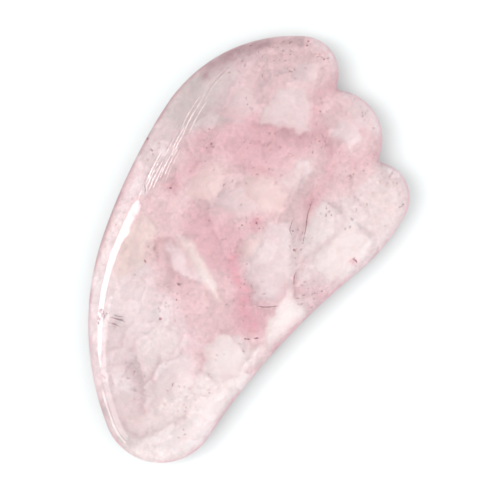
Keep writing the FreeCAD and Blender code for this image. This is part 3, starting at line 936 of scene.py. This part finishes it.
# Clusters of short bright and dark marks: place, spread, how many and heading in degrees.
NICKS = (
    ((11, -12), (1.6, 1.6), 11, 50),
    ((8.6, -14), (1.2, 0.8), 4, 60),
    ((19, -12.4), (0.9, 1.2), 7, 40),
    ((4.4, -20), (1.4, 1.6), 14, -50),
    ((24.3, -15.4), (0.4, 0.9), 4, 70),
    ((20.4, -17.6), (1.6, 0.8), 5, 45),
    ((6, -3), (1.4, 1), 6, 50),
    ((-6, -12.6), (1.8, 1.6), 10, -40),
    ((-2.6, -11.4), (0.8, 0.8), 4, 30),
    ((1.6, -0.6), (1, 2.6), 7, 60),
    ((27.5, -2.6), (1.2, 1.6), 10, 40),
    ((27, -11), (1, 1), 6, -50),
    ((31.6, -17.4), (1, 1.2), 7, 0),
    ((27, -22.4), (2.4, 0.8), 6, 0),
    ((32.8, -13.4), (0.4, 0.8), 4, 70),
    ((36.6, -4), (1.2, 3), 9, 30),
    ((36, 14), (1.2, 2.4), 16, -60),
    ((39.6, 9), (0.7, 1.8), 8, -40),
    ((34, 13), (0.8, 2.4), 8, -50),
    ((31, 15.4), (1.4, 1.8), 8, 40),
    ((33, 3), (1.4, 1.4), 6, 50),
    ((12.6, 12.6), (0.9, 0.9), 5, 45),
    ((10.4, 8), (0.6, 1), 4, -60),
    ((17.4, 8.8), (0.9, 1), 5, -50),
    ((20.6, 4.6), (1.2, 1.8), 8, -55),
    ((15.6, 2.6), (1.2, 1.6), 7, -58),
    ((7.4, 5), (1.6, 0.7), 5, 45),
    ((24, 13), (1.2, 1), 3, 45),
    ((7, 20), (3, 1.2), 5, 20),
    ((28, 19.6), (2.4, 1), 7, 30),
    ((-29.6, -5), (0.8, 1.6), 7, 45),
    ((-31, -9.6), (1.2, 0.9), 6, -45),
    ((-26, -13), (1.6, 0.9), 8, 45),
    ((-28.8, -17.2), (0.8, 0.6), 5, 45),
    ((-24.4, -17.6), (1.8, 1), 8, -45),
    ((-20.4, -15.4), (0.5, 1.8), 5, 80),
    ((-16.4, -15.6), (1.4, 0.8), 4, -45),
    ((-12.8, -18.6), (1.2, 0.8), 4, -45),
    ((-32, -21), (0.7, 0.4), 3, 45),
    ((-16.4, -1.2), (1.6, 0.9), 8, -60),
    ((-10.6, -0.6), (0.9, 0.8), 4, 45),
    ((-9, 7.6), (1, 0.6), 5, 10),
    ((-13, 7), (1.6, 1.6), 4, 45),
)
NICK_TURN = 25
NICK_BEND = 0.1
NICK_LENGTH = (0.3, 0.9)
NICK_WIDTH = (0.04, 0.09)
NICK_DEPTH = 0.18
NICK_GAP = 0.2
NICK_TONES = ("haze", "haze", "haze", "dusk")

# Dark and bright flecks: tone, radius, depth and places.
FLECKS = (
    ("wine", 0.24, 0.3, ((5.4, 22.9),)),
    ("wine", 0.24, 0.2, ((-12.4, 7.1), (8.7, -12.7), (-18.6, -2.6))),
    ("wine", 0.16, 0.2, ((4.3, 20.7), (40.3, 12.6), (39.5, 12.2), (39.7, 8), (-31.8, -21.2), (-13.8, -2.4))),
    ("dusk", 0.18, 0.2, ((-11.2, -0.8), (10.8, -13), (11.2, -10), (18.5, -13.4), (18.8, -11.8), (13, 13))),
    ("dusk", 0.15, 0.2, ((23.3, 13), (17.5, 8.5), (-17.4, -1), (-29.5, -5.8), (6.4, -22), (5.2, -21.2))),
    ("dusk", 0.15, 0.2, ((8.2, 0.8), (5.4, -2), (32.2, -13), (27.2, -11.2), (36, 13.4), (37.6, 15))),
    ("wine", 0.22, 0.2, ((7.6, -3.8), (1.4, 13))),
    ("white", 0.20, 0.15, ((34, 12), (31, -18), (24, -22.5))),
    ("white", 0.14, 0.15, ((34.6, 17), (31.4, -18.6), (11.6, 8.6), (10.4, 8))),
    ("haze", 0.5, 0.2, ((-26.7, 6.2), (-25.6, 5.9), (-25.3, 6.8))),
    ("ash", 0.18, 0.06, ((-27.3, 5.6), (-25.6, 6.9), (-24.9, 5.7))),
    ("white", 0.22, 0.02, ((-26.1, 6.3), (-27, 6))),
)
FLECK_STRETCH = (0.6, 1.4)
FLECK_FLATNESS = 0.5
FLECK_DENT = 0.5
FLECK_DENT_SCALE = 0.7
INCLUSION_MARGIN = 0.6
DUST_COUNT = 130
DUST_RADIUS = (0.05, 0.12)
DUST_SPREAD = 1.1
DUST_DEPTH = 0.18
DUST_TONES = ("dusk", "haze", "haze")


def surface_height(points):
    """The height of the polished top over each place in plan."""
    outline, _ = outline_samples(CORE_STEP, SKIN_TURN)
    widths = nose_widths(outline)
    heights = []
    for point in points:
        gaps = np.hypot(*(outline - point).T)
        nearest = gaps.argmin()
        _, large = nose_radii(widths[nearest])
        short = min(max(widths[nearest] - gaps[nearest], 0), large)
        heights.append(THICKNESS - large + math.sqrt(large**2 - short**2))
    return np.array(heights)


def smooth_route(route, step):
    """A smooth line through a few points, in even short steps."""
    route = np.array(route, float)
    ends = np.vstack((2 * route[0] - route[1], route, 2 * route[-1] - route[-2]))
    line = []
    for before, start, end, after in zip(ends, ends[1:], ends[2:], ends[3:]):
        count = max(2, round(np.hypot(*(end - start)) / step))
        for k in range(count):
            u = k / count
            bend = 2 * before - 5 * start + 4 * end - after
            twist = 3 * (start - end) + after - before
            line.append(start + 0.5 * u * ((end - before) + u * (bend + u * twist)))
    line.append(route[-1])
    return np.array(line)


def crack_shape(half_width, depth, route, offset):
    """A closed thin ribbon along a route, with ragged edges and pointed ends."""
    line = smooth_route(route, CRACK_STEP)
    tangent = np.gradient(line, axis=0)
    tangent /= np.linalg.norm(tangent, axis=1)[:, None]
    across = np.column_stack((-tangent[:, 1], tangent[:, 0]))
    flat = np.column_stack((line, np.zeros(len(line))))
    wander = half_width * CRACK_WANDER * waviness(flat, CRACK_WANDER_SCALE, 2, offset)
    line = line + across * wander[:, None]
    level = surface_height(line) - depth
    share = np.linspace(0, 1, len(line))
    taper = np.sqrt(np.sin(np.pi * np.clip(share, CRACK_POINT, 1 - CRACK_POINT)))
    ragged = 1 + CRACK_RAGGED * waviness(flat, CRACK_RAGGED_SCALE, 2, offset + 9)
    reach = half_width * taper * np.clip(ragged, 0.25, 2)
    rise = min(CRACK_THICKNESS, CRACK_COVER * depth) * taper
    points, faces = [], []
    for k in range(1, len(line) - 1):
        for side in range(CRACK_SIDES):
            angle = 2 * math.pi * side / CRACK_SIDES
            ring = line[k] + across[k] * (reach[k] * math.cos(angle))
            points.append((*ring, level[k] + rise[k] * math.sin(angle)))
    rings = len(line) - 2
    for k in range(rings - 1):
        for side in range(CRACK_SIDES):
            other = (side + 1) % CRACK_SIDES
            low, high = k * CRACK_SIDES, (k + 1) * CRACK_SIDES
            faces.append((low + side, low + other, high + other, high + side))
    start, end = len(points), len(points) + 1
    points.append((*line[0], level[0]))
    points.append((*line[-1], level[-1]))
    last = (rings - 1) * CRACK_SIDES
    for side in range(CRACK_SIDES):
        other = (side + 1) % CRACK_SIDES
        faces.append((start, other, side))
        faces.append((end, last + side, last + other))
    return np.array(points), faces


def scratch_routes(draw):
    """The lines of each bundle of scratches, bright and dark by turns."""
    for route, spacing, count, half_width in SCRATCHES:
        line = np.array(route)
        run = (line[-1] - line[0]) / np.hypot(*(line[-1] - line[0]))
        across = np.array((-run[1], run[0]))
        for k in range(2 * count):
            tone = "white" if k % 2 == 0 else "haze"
            width = half_width * draw.uniform(*SCRATCH_WIDTHS)
            beside = across * spacing * (k + draw.uniform(-SCRATCH_SHIFT, SCRATCH_SHIFT)) / 2
            along = run * draw.uniform(-SCRATCH_SLIP, SCRATCH_SLIP)
            yield tone, width, SCRATCH_DEPTH, line + beside + along


def nick_routes(draw):
    """Short bent marks, each a dark one with a bright one beside it."""
    for place, spread, count, heading in NICKS:
        for _ in range(count):
            middle = np.array([draw.gauss(p, s) for p, s in zip(place, spread)])
            angle = math.radians(draw.gauss(heading, NICK_TURN))
            run = np.array((math.cos(angle), math.sin(angle)))
            across = np.array((-run[1], run[0]))
            half = draw.uniform(*NICK_LENGTH) / 2
            width = draw.uniform(*NICK_WIDTH)
            bend = across * draw.gauss(0, NICK_BEND)
            line = [middle - run * half, middle + bend, middle + run * half]
            yield draw.choice(NICK_TONES), width, NICK_DEPTH, line
            yield "white", width, NICK_DEPTH, np.array(line) + across * NICK_GAP


def fleck_shape(ball, place, radius, fleck_depth, draw):
    """An uneven grain: a ball of small faces, stretched and dented."""
    stretch = np.array([draw.uniform(*FLECK_STRETCH) for _ in range(2)] + [FLECK_FLATNESS]) * radius
    turn = draw.uniform(0, math.pi)
    dents = 1 + FLECK_DENT * waviness(ball, FLECK_DENT_SCALE, 2, draw.uniform(0, 50))
    grown = ball * dents[:, None] * stretch
    spin = np.array(((math.cos(turn), -math.sin(turn)), (math.sin(turn), math.cos(turn))))
    grown[:, :2] = grown[:, :2] @ spin.T
    height = surface_height([np.array(place)])[0] - fleck_depth
    return grown + np.array((*place, height))


def dust_places(draw):
    """Places for fine red dust, strewn along the pink veils."""
    veils = [veil for veil in VEILS_AND_PAINTED_LIGHT if veil[0] in ("rose", "red")]
    places = []
    for _ in range(DUST_COUNT):
        _, _, width, route = draw.choice(veils)
        line = smooth_route(route, 1.0)
        start = line[draw.randrange(len(line))]
        spread = width * DUST_SPREAD
        places.append(start + np.array((draw.gauss(0, spread), draw.gauss(0, spread))))
    return places


def build_inclusions():
    """Everything small that is caught in the clear layer, as one piece for each kind."""
    draw = random.Random(SEED)
    ball_mesh = bmesh.new()
    bmesh.ops.create_icosphere(ball_mesh, subdivisions=2, radius=1.0)
    ball = np.array([vertex.co[:] for vertex in ball_mesh.verts])
    ball_faces = [[vertex.index for vertex in face.verts] for face in ball_mesh.faces]
    ball_mesh.free()

    routes = [*CRACKS, *scratch_routes(random.Random(SEED)), *nick_routes(draw)]
    outline, out = outline_samples(CORE_STEP, SKIN_TURN)
    room = outline - out * INCLUSION_MARGIN
    routes = [each for each in routes if inside(room, np.array(each[3])).all()]
    cracks = [(each[0], *crack_shape(*each[1:], 5.0 * k)) for k, each in enumerate(routes)]
    flecks = [
        (tone, fleck_shape(ball, place, radius, depth, draw), ball_faces)
        for tone, radius, depth, places in FLECKS
        for place in places
    ]
    dust = np.array(dust_places(draw))
    for place in dust[inside(room, dust)]:
        tone = draw.choice(DUST_TONES)
        radius = draw.uniform(*DUST_RADIUS)
        flecks.append((tone, fleck_shape(ball, place, radius, DUST_DEPTH, draw), ball_faces))
    shapes = cracks + flecks
    films = [shape for shape in shapes if shape[0] == "white"]
    minerals = [shape for shape in shapes if shape[0] != "white"]
    for name, members, material in (
        ("mineral_flecks", minerals, inclusion_material()),
        ("air_films", films, film_material()),
    ):
        points, faces, tones = [], [], []
        for tone, shape_points, shape_faces in members:
            first = sum(len(block) for block in points)
            points.append(shape_points)
            faces += [[first + v for v in face] for face in shape_faces]
            tones.append(np.tile(linear(PALETTE[tone]), (len(shape_points), 1)))
        piece = make_mesh(name, np.vstack(points), faces, material)
        store_colours(piece, np.vstack(tones), np.ones(sum(len(block) for block in points)))


build_skin()
build_core()
build_inclusions()


# ---------------------------------------------------------------- floor, light and camera

# The view's own right and up, in the board's frame: the board lies turned by VIEW_TURN.
VIEW_TURN = math.radians(-47.5)
VIEW_CENTRE = (2.9, -6.37)
VIEW_WIDTH = 97.7
LENS = 100.0
SENSOR = 36.0
FLOOR_SIZE = 20.0
FLOOR_TONE = (0.66, 0.69, 0.69, 1)


def build_floor():
    """A plain white table, out to far beyond the view."""
    material, _ = new_material("white_table", Base_Color=FLOOR_TONE, Roughness=0.9, Specular_IOR_Level=0.0)
    half = FLOOR_SIZE / 2
    mesh = bpy.data.meshes.new("table_top")
    corners = [(-half, -half, 0), (half, -half, 0), (half, half, 0), (-half, half, 0)]
    mesh.from_pydata(corners, [], [(0, 1, 2, 3)])
    mesh.materials.append(material)
    floor = bpy.data.objects.new("table_top", mesh)
    bpy.context.scene.collection.objects.link(floor)


def view_to_row(right, up):
    """A direction given as right and up in the view, in the board's frame."""
    return Vector((right, up)) @ Matrix.Rotation(VIEW_TURN, 2).transposed()


# The long lamp's two edges, right and up in the view for each metre of its height.
TUBE_HEIGHT = 2.0
TUBE_INNER = (
    (-0.27, 0.1), (-0.5, 0.15), (-0.66, 0.13), (-0.78, 0.05), (-0.9, -0.07), (-1.2, -0.21), (-1.5, -0.28)
)
TUBE_OUTER = (
    (-0.52, 0.24), (-0.8, 0.28), (-1.03, 0.26), (-1.25, 0.14), (-1.5, 0.01), (-1.85, -0.11), (-2.1, -0.17)
)
TUBE_RADIANCE = 10.0
# The dim screen beside it, given the same way.
SCREEN_HEIGHT = 2.05
SCREEN_INNER = ((-0.34, 0), (-0.28, -0.14), (-0.21, -0.23))
SCREEN_OUTER = ((-1.3, 0), (-1.13, -0.61), (-0.88, -0.96))
SCREEN_RADIANCE = 4.0
# The fill sheet opposite, which mirrors don't show: height, near and far edge, and span.
FILL_HEIGHT = 0.8
FILL_REACH = (1.3, 4.5)
FILL_TURNS = [math.radians(turn) for turn in (-70, -44, -18, 8, 34, 60, 86)]
FILL_RADIANCE = 2.4
# The low card on the lamp's side.
CARD_HEIGHT = 1.2
CARD_PLACE = (-2.3, -1.5)
CARD_SIZE = (1.8, 0.9)
CARD_RADIANCE = 5.0
ROOM_RADIANCE = 1.05


def build_panel(name, inner, outer, height, radiance):
    """A bent sheet of light overhead, between two edges given for each metre of height."""
    material = bpy.data.materials.new(name)
    material.use_nodes = True
    nodes = material.node_tree.nodes
    nodes.clear()
    glow = add_node(material, "ShaderNodeEmission", Strength=radiance)
    add_node(material, "ShaderNodeOutputMaterial", Surface=(glow, "Emission"))
    corners = []
    for near, far in zip(inner, outer):
        for place in (near, far):
            corners.append((*view_to_row(*(np.array(place) * height)), height))
    faces = [(k, k + 1, k + 3, k + 2) for k in range(0, len(corners) - 2, 2)]
    mesh = bpy.data.meshes.new(name)
    mesh.from_pydata(corners, [], faces)
    mesh.materials.append(material)
    lamp = bpy.data.objects.new(name, mesh)
    lamp.visible_camera = False
    bpy.context.scene.collection.objects.link(lamp)
    return lamp


def build_lights():
    """Soft white light all round, the long lamp with a dim screen beside it, the fill sheet
    opposite and a low card."""
    world = bpy.data.worlds.new("studio")
    world.use_nodes = True
    world.node_tree.nodes["Background"].inputs["Color"].default_value = (1, 1, 1, 1)
    world.node_tree.nodes["Background"].inputs["Strength"].default_value = ROOM_RADIANCE
    bpy.context.scene.world = world
    build_panel("tube_lamp", TUBE_INNER, TUBE_OUTER, TUBE_HEIGHT, TUBE_RADIANCE)
    build_panel("side_screen", SCREEN_INNER, SCREEN_OUTER, SCREEN_HEIGHT, SCREEN_RADIANCE)
    rays = np.column_stack((np.cos(FILL_TURNS), np.sin(FILL_TURNS)))
    near, far = [rays * reach for reach in FILL_REACH]
    fill = build_panel("fill_screen", near, far, FILL_HEIGHT, FILL_RADIANCE)
    fill.visible_glossy = False
    light = bpy.data.lights.new("card", "AREA")
    light.shape = "RECTANGLE"
    light.size, light.size_y = CARD_SIZE
    light.energy = CARD_RADIANCE * math.pi * light.size * light.size_y
    card = bpy.data.objects.new("card", light)
    card.location = (*view_to_row(*(np.array(CARD_PLACE) * CARD_HEIGHT)), CARD_HEIGHT)
    card.rotation_euler = (-card.location).to_track_quat("-Z", "Y").to_euler()
    card.visible_camera = False
    bpy.context.scene.collection.objects.link(card)


def build_camera():
    """Straight down, from far enough for little perspective."""
    camera = bpy.data.cameras.new("camera")
    camera.lens = LENS
    camera.sensor_width = SENSOR
    camera.clip_start = 0.01
    distance = VIEW_WIDTH * LENS / SENSOR
    eye = bpy.data.objects.new("camera", camera)
    eye.location = (VIEW_CENTRE[0] * MM, VIEW_CENTRE[1] * MM, (MIDDLE + distance) * MM)
    eye.rotation_euler = (0, 0, VIEW_TURN)
    bpy.context.scene.collection.objects.link(eye)
    bpy.context.scene.camera = eye


build_floor()
build_lights()
build_camera()
bpy.context.scene.view_settings.view_transform = "Standard"
